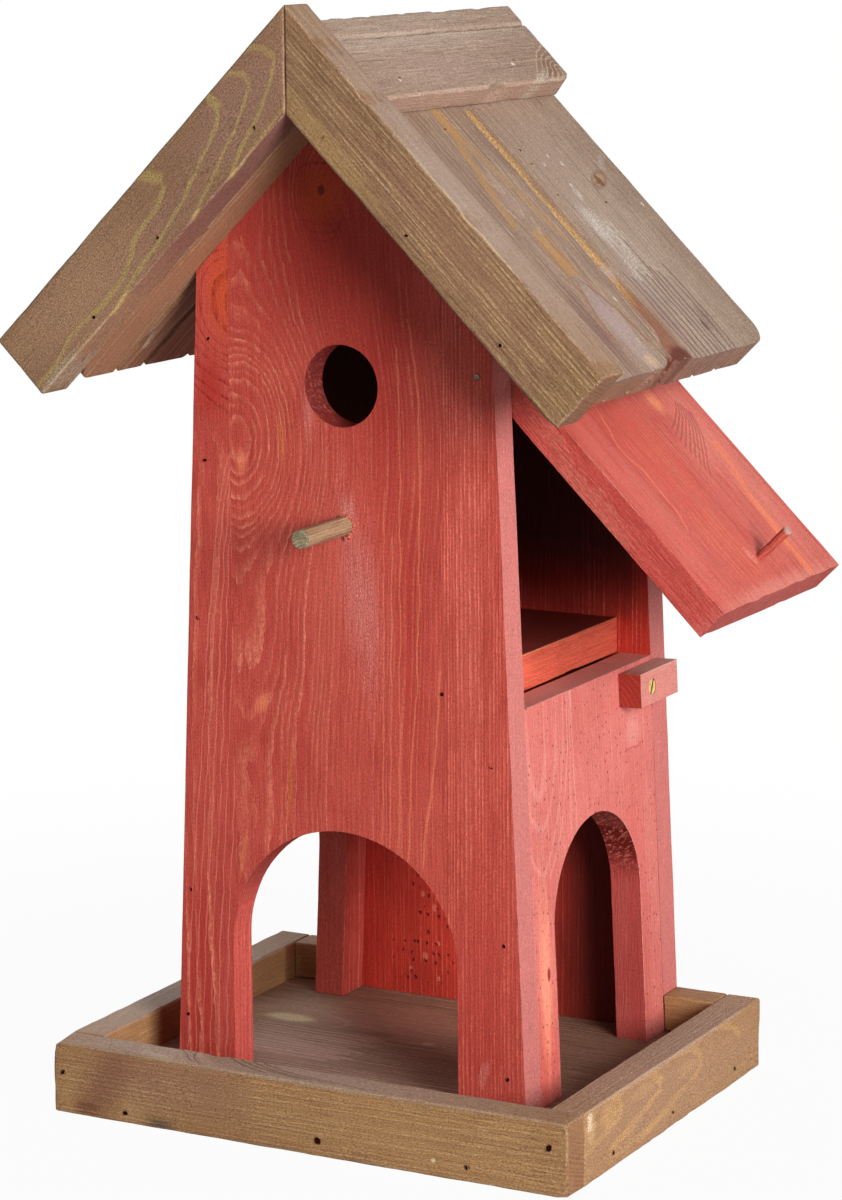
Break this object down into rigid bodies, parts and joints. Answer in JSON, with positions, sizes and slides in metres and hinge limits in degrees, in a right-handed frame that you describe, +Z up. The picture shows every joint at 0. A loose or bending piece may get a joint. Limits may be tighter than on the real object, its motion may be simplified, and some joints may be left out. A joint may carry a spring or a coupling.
{
  "type": "bird feeder",
  "caption": "Gabled wooden bird feeder tower on a rimmed seed tray, with arched feeding openings, a round entrance, a perch, and a pivoting side hatch held by a turn button.",
  "frame": {"origin": "centre of the tray's underside", "axes": "+Z up, front wall with entrance and perch faces -Y, side hatch faces +X"},
  "size_m": [0.3125, 0.1996, 0.481],
  "materials": {
    "tray_floor_wood": "satin stain, worn",
    "tray_rim_wood": "satin stain, worn",
    "red_stained_wood": "translucent red stain",
    "red_stained_hatch": "translucent red stain",
    "bare_orange_wood": "bare sawn wood",
    "raw_dowel": "bare, weathered",
    "steel_nail": "plain",
    "brass_screw": "plain",
    "brown_stained_bargeboard": "satin brown stain, worn edges",
    "brown_stained_roof": "satin brown stain, worn"
  },
  "bodies": {
    "house": {"tray_floor": "tray_floor_wood", "rim_front": "tray_rim_wood", "rim_left": "tray_rim_wood", "rim_right": "tray_rim_wood", "rim_back_left": "tray_rim_wood", "rim_back_right": "tray_rim_wood", "front_board_left": "red_stained_wood", "front_board_middle": "red_stained_wood", "front_board_right": "red_stained_wood", "back_board_left": "red_stained_wood", "back_board_middle": "red_stained_wood", "back_board_right": "red_stained_wood", "left_wall": "red_stained_wood", "right_panel": "red_stained_wood", "nest_floor": "bare_orange_wood", "perch": "raw_dowel", "pivot_nail_front": "steel_nail", "pivot_nail_back": "steel_nail", "button_screw": "brass_screw", "bargeboard_left": "brown_stained_bargeboard", "bargeboard_right": "brown_stained_bargeboard", "plank_left_front": "brown_stained_roof", "plank_left_back": "brown_stained_roof", "plank_right_front": "brown_stained_roof", "plank_right_back": "brown_stained_roof", "ridge_board_left": "brown_stained_roof", "ridge_board_right": "brown_stained_roof"},
    "hatch": {"hatch": "red_stained_hatch", "hatch_peg": "red_stained_hatch"},
    "turn_button": {"turn_button": "red_stained_hatch"}
  },
  "joints": [
    {"name": "hatch_pivot", "type": "hinge", "parent": "house", "child": "hatch", "pos_m": [0.06253, 0.02175, 0.32937], "axis": [0, -1, 0], "range_deg": [-42.6, 15]},
    {"name": "button_pivot", "type": "hinge", "parent": "house", "child": "turn_button", "pos_m": [0.07696, 0.0623, 0.179], "axis": [0.9989, 0, 0.046], "range_deg": [-90, 90]}
  ]
}
